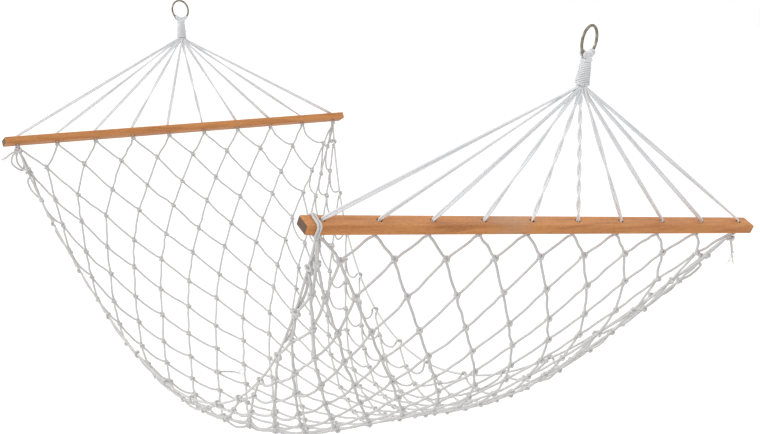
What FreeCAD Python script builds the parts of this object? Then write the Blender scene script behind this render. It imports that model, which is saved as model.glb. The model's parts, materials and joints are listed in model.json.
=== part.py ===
import FreeCAD, Part
import math
import os

import Sketcher
from FreeCAD import Placement, Rotation, Vector

# Rope hammock: a net bed hung between two spreader bars, each carried by a fan of ten cords
# that runs up to a bound cord eye on a steel ring.
#
# Frame, in millimetres: the origin is the centre of the near ring, +Y runs to the far ring,
# +Z is up and +X lies along the spreader bars. Both rings are at the same height.
# Every end has two local frames: its neck's, with +Z up the neck and the ring's centre as
# origin, and its bar's, with +X along the bar and +Z along the cord holes.

DIMENSIONS = [
    # rings
    ("ring_span", 1274.0),          # between the centres of the two rings
    ("ring_radius", 19.9),          # centre line of the ring's wire
    ("ring_wire", 4.2),             # wire diameter
    ("near_ring_turn", 20.0),       # each ring's turn about its neck, degrees
    ("far_ring_turn", 9.0),
    # bound neck, measured down its own axis from the ring's centre
    ("near_neck_lean", 8.0),        # outward lean of each neck from the vertical, degrees
    ("far_neck_lean", 10.5),
    ("collar_top", 23.0),
    ("collar_height", 4.0),
    ("collar_radius", 8.7),
    ("whipping_length", 33.0),
    ("whipping_top_radius", 7.6),
    ("whipping_foot_radius", 9.6),
    ("binding_cord", 1.6),          # wall of the whipping
    # cord eye over the ring, in two bunches
    ("eye_strand_radius", 3.0),
    ("eye_bend_radius", 7.5),
    ("eye_spacing", 9.0),
    # fan of clew cords
    ("clew_rise", 193.0),           # from the middle of the bar to the foot of the neck
    ("near_clew_lean", 7.0),        # outward lean of each fan's plane, degrees
    ("far_clew_lean", 2.0),
    ("clew_radius", 1.7),
    ("clew_spacing", 1.75),         # between cords along the neck's foot
    ("clew_row_gap", 3.9),          # between the foot's two rows of cords
    ("clew_foot_run", 4.0),         # straight run out of the neck, outermost cords
    ("clew_foot_step", 1.4),        # how much longer that run is for each cord further in
    ("clew_hole_lead", 9.0),        # height over the bar at which a cord turns into its hole
    # spreader bars
    ("bar_length", 790.0),
    ("bar_width", 25.0),
    ("bar_thickness", 14.5),
    ("bar_edge_radius", 2.5),
    ("bar_tilt", 24.0),             # outward tilt of the cord holes, degrees
    ("near_bar_roll", -3.0),        # one end of each bar hangs a little low, degrees
    ("far_bar_roll", 3.5),
    ("hole_count", 10.0),
    ("hole_pitch", 82.0),
    ("hole_radius", 4.0),
    # stopper knots under the bars
    ("knot_radius", 5.5),
    ("knot_height", 7.0),
    ("knot_edge_radius", 2.5),
    ("knot_gap", 1.0),
    # tie that gathers the bed's corner at the near bar
    ("tie_radius", 2.0),
    ("tie_gap", 0.3),
    ("tie_inset", 10.0),            # outboard of the end hole
    # net bed and its edge cords
    ("bed_gap", 3.5),               # from the bottoms of the knots to the bed's end
    ("bed_length", 1560.0),         # along the middle, knot to knot
    ("bed_lean", -1.3),             # lean of its sag towards the near end, degrees
    ("bed_drift", 10.0),            # how far the middle of the bed hangs to one side
    ("bed_end_half_width", 369.0),
    ("bed_waist_half_width", 236.0),
    ("bed_thickness", 2.0),
    ("rim_length", 1484.5),         # of each rim as seen from the side
    ("rim_lean", -9.7),             # degrees
    ("selvage_radius", 2.5),
    ("selvage_gap", 2.0),
]
CELLS = dict(DIMENSIONS)
OUTWARD = {"near": -1.0, "far": 1.0}
HOLES = int(CELLS["hole_count"])
RIM_POWER = 8                       # how sharply the bed's sides turn up at the rims
BED_STATIONS = 14                   # spans along the bed's surface
BED_RIM_STEPS = (0.0, 0.45, 0.7, 0.85, 0.94, 1.0)
SELVAGE_RUNS = 20

os.makedirs("parts", exist_ok=True)
doc = FreeCAD.newDocument("rope_hammock")
sheet = doc.addObject("Spreadsheet::Sheet", "dims")
for line, (alias, value) in enumerate(DIMENSIONS, 1):
    sheet.set("A%d" % line, alias)
    sheet.set("B%d" % line, str(value))
    sheet.setAlias("B%d" % line, alias)
doc.recompute()

nodes = {}


# ---- local frames -------------------------------------------------------------------------

def neck_frame(end):
    centre = Vector(0, 0 if end == "near" else CELLS["ring_span"], 0)
    return Placement(centre, Rotation(Vector(1, 0, 0), -OUTWARD[end] * CELLS[end + "_neck_lean"]))


def neck_reach():
    return CELLS["collar_top"] + CELLS["collar_height"] + CELLS["whipping_length"]


def bar_frame(end):
    foot = neck_frame(end).multVec(Vector(0, 0, -neck_reach()))
    lean = math.radians(CELLS[end + "_clew_lean"])
    hang = Vector(0, -OUTWARD[end] * math.sin(lean), -math.cos(lean)) * CELLS["clew_rise"]
    roll = Rotation(Vector(0, 1, 0), -CELLS[end + "_bar_roll"])
    tilt = Rotation(Vector(1, 0, 0), -OUTWARD[end] * CELLS["bar_tilt"])
    return Placement(foot + roll.multVec(hang), roll * tilt)


def hole_x(index):
    return (index - (HOLES - 1) / 2.0) * CELLS["hole_pitch"]


# ---- shared builders ----------------------------------------------------------------------

def keep(name, obj):
    obj.Label = name
    nodes[name] = obj
    return obj


def bind(obj, **cells):
    for prop, expression in cells.items():
        obj.setExpression(prop, expression)
    return obj


def route(points, share=0.45):
    """Straight runs through the points, joined by tangent arcs."""
    edges = []
    start = points[0]
    for before, corner, after in zip(points, points[1:], points[2:]):
        back = before - corner
        ahead = after - corner
        cut = share * min(back.Length, ahead.Length)
        back.normalize()
        ahead.normalize()
        half_turn = (math.pi - back.getAngle(ahead)) / 2.0
        radius = cut / math.tan(half_turn)
        bisector = back + ahead
        bisector.normalize()
        middle = corner + bisector * (radius / math.cos(half_turn) - radius)
        into = corner + back * cut
        out = corner + ahead * cut
        edges.append(Part.LineSegment(start, into).toShape())
        edges.append(Part.Arc(into, middle, out).toShape())
        start = out
    edges.append(Part.LineSegment(start, points[-1]).toShape())
    return Part.Wire(edges)


def cord(name, wire, radius_cell):
    """A round cord swept along a wire of lines and arcs."""
    spine = doc.addObject("Part::Feature", name + "_route")
    spine.Shape = wire
    first = wire.Edges[0]
    start = first.valueAt(first.FirstParameter)
    heading = first.tangentAt(first.FirstParameter)
    section = doc.addObject("Part::Circle", name + "_section")
    section.Placement = Placement(start, Rotation(Vector(0, 0, 1), heading))
    bind(section, Radius="dims." + radius_cell)
    sweep = doc.addObject("Part::Sweep", name + "_cord")
    sweep.Sections = [section]
    sweep.Spine = (spine, ["Edge%d" % (i + 1) for i in range(len(wire.Edges))])
    sweep.Solid = True
    sweep.Frenet = False
    return sweep


def origin_plane(body, role):
    return [feature for feature in body.Origin.OriginFeatures if feature.Role == role][0]


def sketch_on(body, name, role):
    sketch = body.newObject("Sketcher::SketchObject", name)
    sketch.AttachmentSupport = (origin_plane(body, role), [""])
    sketch.MapMode = "FlatFace"
    return sketch


# ---- ring, neck and eye -------------------------------------------------------------------

def make_ring(end):
    ring = doc.addObject("Part::Torus", end + "_ring_torus")
    bind(ring, Radius1="dims.ring_radius", Radius2="dims.ring_wire / 2")
    turn = Rotation(Vector(0, 0, 1), CELLS[end + "_ring_turn"])
    upright = Rotation(Vector(1, 0, 0), 90)
    ring.Placement = neck_frame(end) * Placement(Vector(), turn * upright)
    keep(end + "_ring", ring)


def sleeve(name, end, kind, below, outer, inner):
    """A round sleeve on the neck: an outer solid less an inner one of the same height."""
    pieces = []
    for part, cells in (("outer", outer), ("inner", inner)):
        solid = doc.addObject(kind, "%s_%s" % (name, part))
        solid.Placement = neck_frame(end) * Placement(Vector(0, 0, -below), Rotation())
        pieces.append(bind(solid, **cells))
    cut = doc.addObject("Part::Cut", name + "_cut")
    cut.Base, cut.Tool = pieces
    return keep(name, cut)


def make_neck(end):
    below_collar = CELLS["collar_top"] + CELLS["collar_height"]
    core_top = "dims.whipping_top_radius - dims.binding_cord"
    core_foot = "dims.whipping_foot_radius - dims.binding_cord"
    sleeve(end + "_whipping", end, "Part::Cone", neck_reach(),
           {"Radius1": "dims.whipping_foot_radius", "Radius2": "dims.whipping_top_radius",
            "Height": "dims.whipping_length"},
           {"Radius1": core_foot, "Radius2": core_top, "Height": "dims.whipping_length"})
    sleeve(end + "_whipping_collar", end, "Part::Cylinder", below_collar,
           {"Radius": "dims.collar_radius", "Height": "dims.collar_height"},
           {"Radius": core_top, "Height": "dims.collar_height"})
    cone = doc.addObject("Part::Cone", end + "_core_cone")
    cone.Placement = neck_frame(end) * Placement(Vector(0, 0, -neck_reach()), Rotation())
    bind(cone, Radius1=core_foot, Radius2=core_top, Height="dims.whipping_length")
    plug = doc.addObject("Part::Cylinder", end + "_core_plug")
    plug.Placement = neck_frame(end) * Placement(Vector(0, 0, -below_collar), Rotation())
    bind(plug, Radius=core_top, Height="dims.collar_height")
    core = doc.addObject("Part::Fuse", end + "_core_fuse")
    core.Base = cone
    core.Tool = plug
    keep(end + "_neck_core", core)


def make_eye(end):
    """Two bunches of cord, each up one side of the ring's wire, over it and down the other."""
    bend = CELLS["eye_bend_radius"]
    for side, sign in (("left", -1.0), ("right", 1.0)):
        across = sign * CELLS["eye_spacing"] / 2.0
        middle = across * math.tan(math.radians(CELLS[end + "_ring_turn"]))
        wire_height = -math.sqrt(CELLS["ring_radius"] ** 2 - across ** 2)
        low = -CELLS["collar_top"]
        front_low = Vector(across, middle - bend, low)
        front = Vector(across, middle - bend, wire_height)
        top = Vector(across, middle, wire_height + bend)
        back = Vector(across, middle + bend, wire_height)
        back_low = Vector(across, middle + bend, low)
        loop = Part.Wire([
            Part.LineSegment(front_low, front).toShape(),
            Part.Arc(front, top, back).toShape(),
            Part.LineSegment(back, back_low).toShape(),
        ])
        loop.Placement = neck_frame(end)
        keep("%s_eye_%s" % (end, side), cord("%s_eye_%s" % (end, side), loop, "eye_strand_radius"))


# ---- fan, bar and knots -------------------------------------------------------------------

def make_clew_cords(end):
    """Ten cords from the neck's foot, in two rows, each down through its own hole."""
    neck = neck_frame(end)
    bar = bar_frame(end)
    half = CELLS["bar_thickness"] / 2.0
    for index in range(HOLES):
        x = (index - (HOLES - 1) / 2.0) * CELLS["clew_spacing"]
        y = (0.5 if index % 2 else -0.5) * CELLS["clew_row_gap"]
        foot = neck.multVec(Vector(x, y, -neck_reach()))
        run = CELLS["clew_foot_run"] + CELLS["clew_foot_step"] * min(index, HOLES - 1 - index)
        below = neck.multVec(Vector(x, y, -neck_reach() - run))
        over = bar.multVec(Vector(hole_x(index), 0, half + CELLS["clew_hole_lead"]))
        under = bar.multVec(Vector(hole_x(index), 0, -half - CELLS["knot_gap"]))
        name = "%s_clew_cord_%d" % (end, index + 1)
        keep(name, cord(name, route([foot, below, over, under]), "clew_radius"))


def make_bar(end):
    body = doc.addObject("PartDesign::Body", end + "_bar_body")
    section = sketch_on(body, end + "_bar_section", "YZ_Plane")
    half_y = CELLS["bar_width"] / 2.0
    half_z = CELLS["bar_thickness"] / 2.0
    corners = [Vector(-half_y, -half_z, 0), Vector(half_y, -half_z, 0),
               Vector(half_y, half_z, 0), Vector(-half_y, half_z, 0)]
    for start, stop in zip(corners, corners[1:] + corners[:1]):
        section.addGeometry(Part.LineSegment(start, stop), False)
    for line in range(4):
        section.addConstraint(Sketcher.Constraint("Coincident", line, 2, (line + 1) % 4, 1))
    for line in (0, 2):
        section.addConstraint(Sketcher.Constraint("Horizontal", line))
    for line in (1, 3):
        section.addConstraint(Sketcher.Constraint("Vertical", line))
    section.addConstraint(Sketcher.Constraint("Symmetric", 0, 1, 2, 1, -1, 1))
    wide = section.addConstraint(Sketcher.Constraint("DistanceX", 0, 1, 0, 2, 2 * half_y))
    thick = section.addConstraint(Sketcher.Constraint("DistanceY", 1, 1, 1, 2, 2 * half_z))
    section.setExpression("Constraints[%d]" % wide, "dims.bar_width")
    section.setExpression("Constraints[%d]" % thick, "dims.bar_thickness")
    pad = body.newObject("PartDesign::Pad", end + "_bar_pad")
    pad.Profile = section
    pad.Midplane = True
    bind(pad, Length="dims.bar_length")
    doc.recompute()
    eased = body.newObject("PartDesign::Fillet", end + "_bar_eased")
    eased.Base = (pad, ["Edge%d" % (i + 1) for i in range(len(pad.Shape.Edges))])
    bind(eased, Radius="dims.bar_edge_radius")
    doc.recompute()
    drill = sketch_on(body, end + "_bar_drill", "XY_Plane")
    drill.addGeometry(Part.Circle(Vector(hole_x(0), 0, 0), Vector(0, 0, 1), CELLS["hole_radius"]), False)
    round_hole = drill.addConstraint(Sketcher.Constraint("Radius", 0, CELLS["hole_radius"]))
    drill.setExpression("Constraints[%d]" % round_hole, "dims.hole_radius")
    hole = body.newObject("PartDesign::Pocket", end + "_bar_hole")
    hole.Profile = drill
    hole.Type = 1
    hole.Midplane = True
    doc.recompute()
    holes = body.newObject("PartDesign::LinearPattern", end + "_bar_holes")
    holes.Originals = [hole]
    holes.Direction = (origin_plane(body, "X_Axis"), [""])
    bind(holes, Length="(dims.hole_count - 1) * dims.hole_pitch", Occurrences="dims.hole_count")
    body.Tip = holes
    doc.recompute()
    body.Placement = bar_frame(end)
    keep(end + "_spreader_bar", body)


def make_knots(end):
    """Ten stopper knots, one under each hole."""
    bar = bar_frame(end)
    drop = CELLS["bar_thickness"] / 2.0 + CELLS["knot_gap"] + CELLS["knot_height"]
    knots = []
    for index in range(HOLES):
        barrel = doc.addObject("Part::Cylinder", "%s_knot_%d" % (end, index + 1))
        barrel.Placement = bar * Placement(Vector(hole_x(index), 0, -drop), Rotation())
        bind(barrel, Radius="dims.knot_radius", Height="dims.knot_height")
        doc.recompute()
        rims = [i + 1 for i, edge in enumerate(barrel.Shape.Edges)
                if isinstance(edge.Curve, Part.Circle)]
        knot = doc.addObject("Part::Fillet", "%s_knot_eased_%d" % (end, index + 1))
        knot.Base = barrel
        knot.Edges = [(i, CELLS["knot_edge_radius"], CELLS["knot_edge_radius"]) for i in rims]
        knots.append(knot)
    group = doc.addObject("Part::Compound", end + "_knot_group")
    group.Links = knots
    keep(end + "_stopper_knots", group)


def rounded_rectangle(x, y, z, turn):
    """A closed wire across X: a rectangle of half sizes y and z with round corners."""
    sunk = turn * (1 - math.sqrt(0.5))
    corners = []
    for sy, sz in ((1, 1), (-1, 1), (-1, -1), (1, -1)):
        beside = Vector(x, sy * y, sz * (z - turn))
        middle = Vector(x, sy * (y - sunk), sz * (z - sunk))
        above = Vector(x, sy * (y - turn), sz * z)
        corners.append((beside, middle, above) if sy * sz > 0 else (above, middle, beside))
    edges = []
    for corner, following in zip(corners, corners[1:] + corners[:1]):
        edges.append(Part.Arc(*corner).toShape())
        edges.append(Part.LineSegment(corner[2], following[0]).toShape())
    return Part.Wire(edges)


def make_corner_tie():
    """A cord loop round the near bar, just outboard of its first hole."""
    clear = CELLS["tie_gap"] + CELLS["tie_radius"]
    half_y = CELLS["bar_width"] / 2.0 + clear
    half_z = CELLS["bar_thickness"] / 2.0 + clear
    x = hole_x(0) - CELLS["tie_inset"]
    loop = rounded_rectangle(x, half_y, half_z, clear + CELLS["bar_edge_radius"])
    loop.Placement = bar_frame("near")
    keep("near_corner_tie", cord("near_corner_tie", loop, "tie_radius"))


# ---- net bed ------------------------------------------------------------------------------

def bed_anchor(end):
    """The middle of the bed's end, just under the middle of the row of knots."""
    drop = CELLS["bar_thickness"] / 2.0 + CELLS["knot_gap"] + CELLS["knot_height"]
    return bar_frame(end).multVec(Vector(0, 0, -drop - CELLS["bed_gap"]))


def hanging_curve(length_cell, lean_cell):
    """A function of the fraction run that gives (y, z) on a catenary between the anchors."""
    length = CELLS[length_cell]
    start = bed_anchor("near")
    stop = bed_anchor("far")
    lean = math.radians(CELLS[lean_cell])
    level = (math.cos(lean), -math.sin(lean))
    upward = (math.sin(lean), math.cos(lean))
    dy = stop.y - start.y
    dz = stop.z - start.z
    run = dy * level[0] + dz * level[1]
    rise = dy * upward[0] + dz * upward[1]
    target = math.sqrt(length ** 2 - rise ** 2)
    low, high = run / 40.0, run * 40.0
    for _ in range(80):
        scale = math.sqrt(low * high)
        if 2 * scale * math.sinh(run / (2 * scale)) > target:
            low = scale
        else:
            high = scale
    lowest = run / 2.0 - scale * math.asinh(rise / (2 * scale * math.sinh(run / (2 * scale))))

    def at(fraction):
        along = lowest + scale * math.asinh(fraction * length / scale - math.sinh(lowest / scale))
        height = scale * (math.cosh((along - lowest) / scale) - math.cosh(lowest / scale))
        return (start.y + along * level[0] + height * upward[0],
                start.z + along * level[1] + height * upward[1])
    return at


bed_middle = hanging_curve("bed_length", "bed_lean")
bed_rim = hanging_curve("rim_length", "rim_lean")


def bed_point(fraction, across, inset=0.0):
    """A point of the bed's surface: across runs from -1 at the left rim to 1 at the right."""
    near = bed_anchor("near").x
    far = bed_anchor("far").x
    from_waist = (2 * fraction - 1) ** 2
    half = CELLS["bed_waist_half_width"]
    half += (CELLS["bed_end_half_width"] - half) * from_waist - inset
    turned_up = abs(across) ** RIM_POWER
    y0, z0 = bed_middle(fraction)
    y1, z1 = bed_rim(fraction)
    drift = CELLS["bed_drift"] * 4 * fraction * (1 - fraction)
    x = across * half
    roll = CELLS["near_bar_roll"] * (1 - fraction) + CELLS["far_bar_roll"] * fraction
    return Vector(near + (far - near) * fraction + drift + x,
                  y0 + (y1 - y0) * turned_up,
                  z0 + (z1 - z0) * turned_up + x * math.tan(math.radians(roll)))


def bed_normal(fraction, across, inset):
    step = 0.004
    f0, f1 = max(fraction - step, 0.0), min(fraction + step, 1.0)
    a0, a1 = max(across - step, -1.0), min(across + step, 1.0)
    lengthwise = bed_point(f1, across, inset) - bed_point(f0, across, inset)
    crosswise = bed_point(fraction, a1, inset) - bed_point(fraction, a0, inset)
    normal = crosswise.cross(lengthwise)
    normal.normalize()
    return normal


def make_bed():
    """The net as one thin sheet: two spline surfaces a cord's thickness apart, closed round."""
    inset = CELLS["selvage_radius"] + CELLS["selvage_gap"]
    steps = [-s for s in reversed(BED_RIM_STEPS[1:])] + list(BED_RIM_STEPS)
    top_points = []
    under_points = []
    for station in range(BED_STATIONS + 1):
        fraction = station / float(BED_STATIONS)
        top_row = [bed_point(fraction, a, inset) for a in steps]
        drops = [bed_normal(fraction, a, inset) * CELLS["bed_thickness"] for a in steps]
        top_points.append(top_row)
        under_points.append([point - drop for point, drop in zip(top_row, drops)])
    faces = []
    for rows in (top_points, under_points):
        surface = Part.BSplineSurface()
        surface.interpolate(rows)
        faces.append(surface)
    top, under = faces
    shell = [top.toShape(), under.toShape()]
    u0, u1, v0, v1 = top.bounds()
    p0, p1, q0, q1 = under.bounds()
    pairs = [(top.uIso(u0), under.uIso(p0)), (top.uIso(u1), under.uIso(p1)),
             (top.vIso(v0), under.vIso(q0)), (top.vIso(v1), under.vIso(q1))]
    for upper, lower in pairs:
        shell.append(Part.makeRuledSurface(upper.toShape(), lower.toShape()))
    sewn = Part.makeShell(shell)
    sewn.sewShape()
    solid = Part.makeSolid(sewn)
    if solid.Volume < 0:
        solid.reverse()
    bed = doc.addObject("Part::Feature", "net_bed_sheet")
    bed.Shape = solid
    keep("net_bed", bed)


def make_selvages():
    for side, across in (("left", -1.0), ("right", 1.0)):
        points = [bed_point(i / float(SELVAGE_RUNS), across) for i in range(SELVAGE_RUNS + 1)]
        name = side + "_selvage_cord"
        keep(name, cord(name, route(points), "selvage_radius"))


# ---- assembly -----------------------------------------------------------------------------

for end in OUTWARD:
    make_ring(end)
    make_neck(end)
    make_eye(end)
    make_clew_cords(end)
    make_bar(end)
    make_knots(end)
make_corner_tie()
make_bed()
make_selvages()
doc.recompute()

for obj in doc.Objects:
    bad = [state for state in obj.State if state in ("Invalid", "Error")]
    if bad:
        raise RuntimeError("%s is %s" % (obj.Name, bad))
for name, obj in nodes.items():
    shape = obj.Shape
    if shape.isNull() or not shape.isValid():
        raise RuntimeError("%s has no valid shape" % name)
    shape.exportStep("parts/%s.step" % name)
    print("%-24s %3d solids %10.1f mm3" % (name, len(shape.Solids), shape.Volume))
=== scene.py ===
import json
import math

import bpy
import numpy as np
from mathutils import Matrix


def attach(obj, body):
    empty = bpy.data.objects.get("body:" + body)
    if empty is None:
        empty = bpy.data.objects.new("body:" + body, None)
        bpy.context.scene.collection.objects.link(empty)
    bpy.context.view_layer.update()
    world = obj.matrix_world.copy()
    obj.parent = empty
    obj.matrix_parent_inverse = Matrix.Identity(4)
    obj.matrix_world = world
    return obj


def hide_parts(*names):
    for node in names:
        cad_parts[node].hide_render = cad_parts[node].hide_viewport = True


# Rope hammock: the looks of the net bed, the cord fans and their bindings, round the fixed
# bars and rings. All lengths are in metres, in the frame of the part: the origin is the near
# ring's centre, +Y runs to the far ring, +Z is up and +X lies along the spreader bars.

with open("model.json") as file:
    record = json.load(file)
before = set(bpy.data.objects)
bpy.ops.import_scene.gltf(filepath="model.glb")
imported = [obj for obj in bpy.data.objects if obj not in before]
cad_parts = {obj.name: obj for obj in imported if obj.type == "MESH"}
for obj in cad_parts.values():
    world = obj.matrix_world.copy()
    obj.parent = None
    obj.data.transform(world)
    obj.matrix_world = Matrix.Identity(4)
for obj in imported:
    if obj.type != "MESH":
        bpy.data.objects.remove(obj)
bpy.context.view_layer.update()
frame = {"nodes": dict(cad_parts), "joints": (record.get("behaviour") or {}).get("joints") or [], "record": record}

# ---- sizes -----------------------------------------------------------------------------------

MM = 0.001
OUTWARD = {"near": -1.0, "far": 1.0}
NECK_LEAN = {"near": 8.0, "far": 10.5}          # degrees, outward
RING_TURN = {"near": 20.0, "far": 9.0}          # degrees about the neck
RING_RADIUS = 19.9 * MM
RING_WIRE_RADIUS = 2.1 * MM
COLLAR_TOP = 23 * MM                            # below the ring's centre, along the neck
COLLAR_FOOT = 27 * MM
NECK_FOOT = 60 * MM
WHIPPING_TOP_RADIUS = 8.3 * MM
WHIPPING_FOOT_RADIUS = 10.9 * MM
BAR_TILT = 24.0                                 # degrees, of the cord holes
BAR_HALF_WIDTH = 12.5 * MM
BAR_HALF_THICKNESS = 7.25 * MM
HOLES = 10
HOLE_PITCH = 82 * MM
KNOT_DROP = BAR_HALF_THICKNESS + 6.0 * MM       # of the stopper knots' middles

CLEW_SPACING = 1.75 * MM                        # of the cords at the neck's foot
CLEW_ROW_GAP = 3.9 * MM
CLEW_FOOT_RUN = 1.5 * MM
CLEW_FOOT_STEP = 0.8 * MM
CLEW_STRAND_RADIUS = 1.75 * MM
CLEW_SQUEEZE = 0.74                             # of their width, inside the bar's holes
CLEW_SQUEEZED_END = 17 * MM
CLEW_SQUEEZE_RUN = 14 * MM
EYE_STRAND_RADIUS = 1.6 * MM
EYE_STRAND_GAP = 3.1 * MM                       # along the ring's wire

NET_ROWS = 26                                   # of knots, counting the far bar's row
TWINE_RADIUS = 2.1 * MM
TWINE_LAY = 14 * MM                             # length of one turn of the twine's strands
KNOT_SCALE = 2.95 * MM                          # one unit of the knot drawings below
SELVAGE_STRAND_RADIUS = 2.1 * MM
SWEEP_STEP = 1.6 * MM

randoms = np.random.default_rng(20)


# ---- vectors and curves ----------------------------------------------------------------------

def unit(vector):
    vector = np.asarray(vector, float)
    return vector / np.linalg.norm(vector)


class Axes:
    """A local frame: an origin and three unit axes."""

    def __init__(self, origin, x, y, z):
        self.origin = np.asarray(origin, float)
        self.turn = np.array([x, y, z], float)

    def at(self, points):
        return self.origin + np.asarray(points, float) @ self.turn

    @property
    def x(self):
        return self.turn[0]

    @property
    def y(self):
        return self.turn[1]

    @property
    def z(self):
        return self.turn[2]


def smooth(points, step=SWEEP_STEP, samples=8):
    """Points a step apart on the centripetal Catmull-Rom curve through the given points."""
    p = np.asarray(points, float)
    p = p[np.r_[True, np.linalg.norm(np.diff(p, axis=0), axis=1) > 1e-7]]
    p = np.vstack([2 * p[0] - p[1], p, 2 * p[-1] - p[-2]])
    a, b, c, d = p[:-3, None], p[1:-2, None], p[2:-1, None], p[3:, None]
    t1 = np.sqrt(np.linalg.norm(b - a, axis=2, keepdims=True))
    t2 = t1 + np.sqrt(np.linalg.norm(c - b, axis=2, keepdims=True))
    t3 = t2 + np.sqrt(np.linalg.norm(d - c, axis=2, keepdims=True))
    t = t1 + (t2 - t1) * (np.arange(samples) / samples)[None, :, None]
    ab = (a * (t1 - t) + b * t) / t1
    bc = (b * (t2 - t) + c * (t - t1)) / (t2 - t1)
    cd = (c * (t3 - t) + d * (t - t2)) / (t3 - t2)
    abc = (ab * (t2 - t) + bc * t) / t2
    bcd = (bc * (t3 - t) + cd * (t - t1)) / (t3 - t1)
    curve = (abc * (t2 - t) + bcd * (t - t1)) / (t2 - t1)
    return resample(np.vstack([curve.reshape(-1, 3), p[-2]]), step)


def resample(line, step):
    run = np.r_[0, np.cumsum(np.linalg.norm(np.diff(line, axis=0), axis=1))]
    count = max(2, int(round(run[-1] / step)) + 1)
    at = np.linspace(0, run[-1], count)
    return np.stack([np.interp(at, run, line[:, k]) for k in range(3)], axis=1)


def length_of(line):
    return float(np.linalg.norm(np.diff(line, axis=0), axis=1).sum())


def frames_along(line):
    """Tangents and two normals at each point, with no twist between one point and the next."""
    tangents = np.gradient(line, axis=0)
    tangents /= np.linalg.norm(tangents, axis=1, keepdims=True)
    start = np.cross(tangents[0], (0.0, 0.0, 1.0))
    if np.linalg.norm(start) < 0.1:
        start = np.cross(tangents[0], (0.0, 1.0, 0.0))
    normal = unit(start)
    normals = np.empty_like(line)
    for i, tangent in enumerate(tangents):
        normal = normal - tangent * (normal @ tangent)
        normal = normal / math.sqrt(normal @ normal)
        normals[i] = normal
    return tangents, normals, np.cross(tangents, normals)


def nurbs_line(name, points):
    """Points read from a smooth spline that has the route's points as its control points."""
    data = bpy.data.curves.new(name, "CURVE")
    data.dimensions = "3D"
    data.resolution_u = 24
    spline = data.splines.new("NURBS")
    spline.points.add(len(points) - 1)
    for knot, point in zip(spline.points, points):
        knot.co = (*map(float, point), 1.0)
    spline.order_u = 3
    spline.use_endpoint_u = True
    guide = bpy.data.objects.new(name, data)
    bpy.context.scene.collection.objects.link(guide)
    bpy.context.view_layer.update()
    mesh = bpy.data.meshes.new_from_object(guide)
    line = np.array([vertex.co for vertex in mesh.vertices], float)
    bpy.data.objects.remove(guide)
    bpy.data.curves.remove(data)
    bpy.data.meshes.remove(mesh)
    return line


# ---- meshes ----------------------------------------------------------------------------------

class Shape:
    """Vertices, quads and triangles of one piece, gathered from its strands."""

    def __init__(self):
        self.points = []
        self.quads = []
        self.caps = []
        self.uvs = []
        self.count = 0

    def strand(self, line, radius, lay=TWINE_LAY, sides=12, ribs=3, depth=0.15, phase=0.0,
               taper=None):
        """A laid cord along a line: a round section with ribs that turn once in every lay."""
        rings = len(line)
        tangents, normals, binormals = frames_along(line)
        run = np.r_[0, np.cumsum(np.linalg.norm(np.diff(line, axis=0), axis=1))]
        around = 2 * np.pi * np.arange(sides) / sides
        profile = 1 - depth * (1 - np.abs(np.cos(ribs * around / 2)) ** 0.8)
        size = np.full(rings, radius) if taper is None else radius * np.asarray(taper)
        angle = around[None, :] + 2 * np.pi * run[:, None] / lay + phase
        reach = size[:, None] * profile[None, :]
        points = (line[:, None, :]
                  + (reach * np.cos(angle))[:, :, None] * normals[:, None, :]
                  + (reach * np.sin(angle))[:, :, None] * binormals[:, None, :])
        corner = np.arange(rings - 1)[:, None] * sides + np.arange(sides)[None, :]
        beside = np.arange(rings - 1)[:, None] * sides + (np.arange(sides)[None, :] + 1) % sides
        quads = np.stack([corner, beside, beside + sides, corner + sides], axis=2).reshape(-1, 4)
        u = np.broadcast_to(np.arange(sides)[None, :] / sides, corner.shape)
        v = np.broadcast_to(run[:-1, None] / lay, corner.shape)
        v_next = np.broadcast_to(run[1:, None] / lay, corner.shape)
        wide = 1.0 / sides
        uv = np.stack([np.stack([u, v], 2), np.stack([u + wide, v], 2),
                       np.stack([u + wide, v_next], 2), np.stack([u, v_next], 2)], axis=2)
        self.quads.append(quads + self.count)
        self.uvs.append(uv.reshape(-1, 2))
        self.points.append(points.reshape(-1, 3))
        self.caps.append(self.count + np.arange(sides)[::-1])
        self.caps.append(self.count + (rings - 1) * sides + np.arange(sides))
        self.count += rings * sides

    def build(self, name, material, body):
        points = np.vstack(self.points)
        quads = np.vstack(self.quads)
        quad_uvs = np.vstack(self.uvs)
        sizes = np.r_[np.full(len(quads), 4), [len(cap) for cap in self.caps]].astype(np.int32)
        corners = np.concatenate([quads.reshape(-1), *self.caps]).astype(np.int32)
        mesh = bpy.data.meshes.new(name)
        mesh.vertices.add(len(points))
        mesh.vertices.foreach_set("co", points.astype(np.float32).reshape(-1))
        mesh.loops.add(len(corners))
        mesh.loops.foreach_set("vertex_index", corners)
        mesh.polygons.add(len(sizes))
        starts = np.r_[0, np.cumsum(sizes)[:-1]].astype(np.int32)
        mesh.polygons.foreach_set("loop_start", starts)
        mesh.polygons.foreach_set("use_smooth", np.r_[np.ones(len(quads), bool),
                                                      np.zeros(len(self.caps), bool)])
        mesh.update(calc_edges=True)
        uv_layer = mesh.uv_layers.new(name="along")
        cap_uvs = np.zeros((len(corners) - 4 * len(quads), 2))
        uvs = np.vstack([quad_uvs, cap_uvs]).astype(np.float32)
        uv_layer.data.foreach_set("uv", uvs.reshape(-1))
        mesh.validate()
        mesh.materials.append(material)
        piece = bpy.data.objects.new(name, mesh)
        bpy.context.scene.collection.objects.link(piece)
        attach(piece, body)
        return piece


# ---- materials -------------------------------------------------------------------------------

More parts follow.
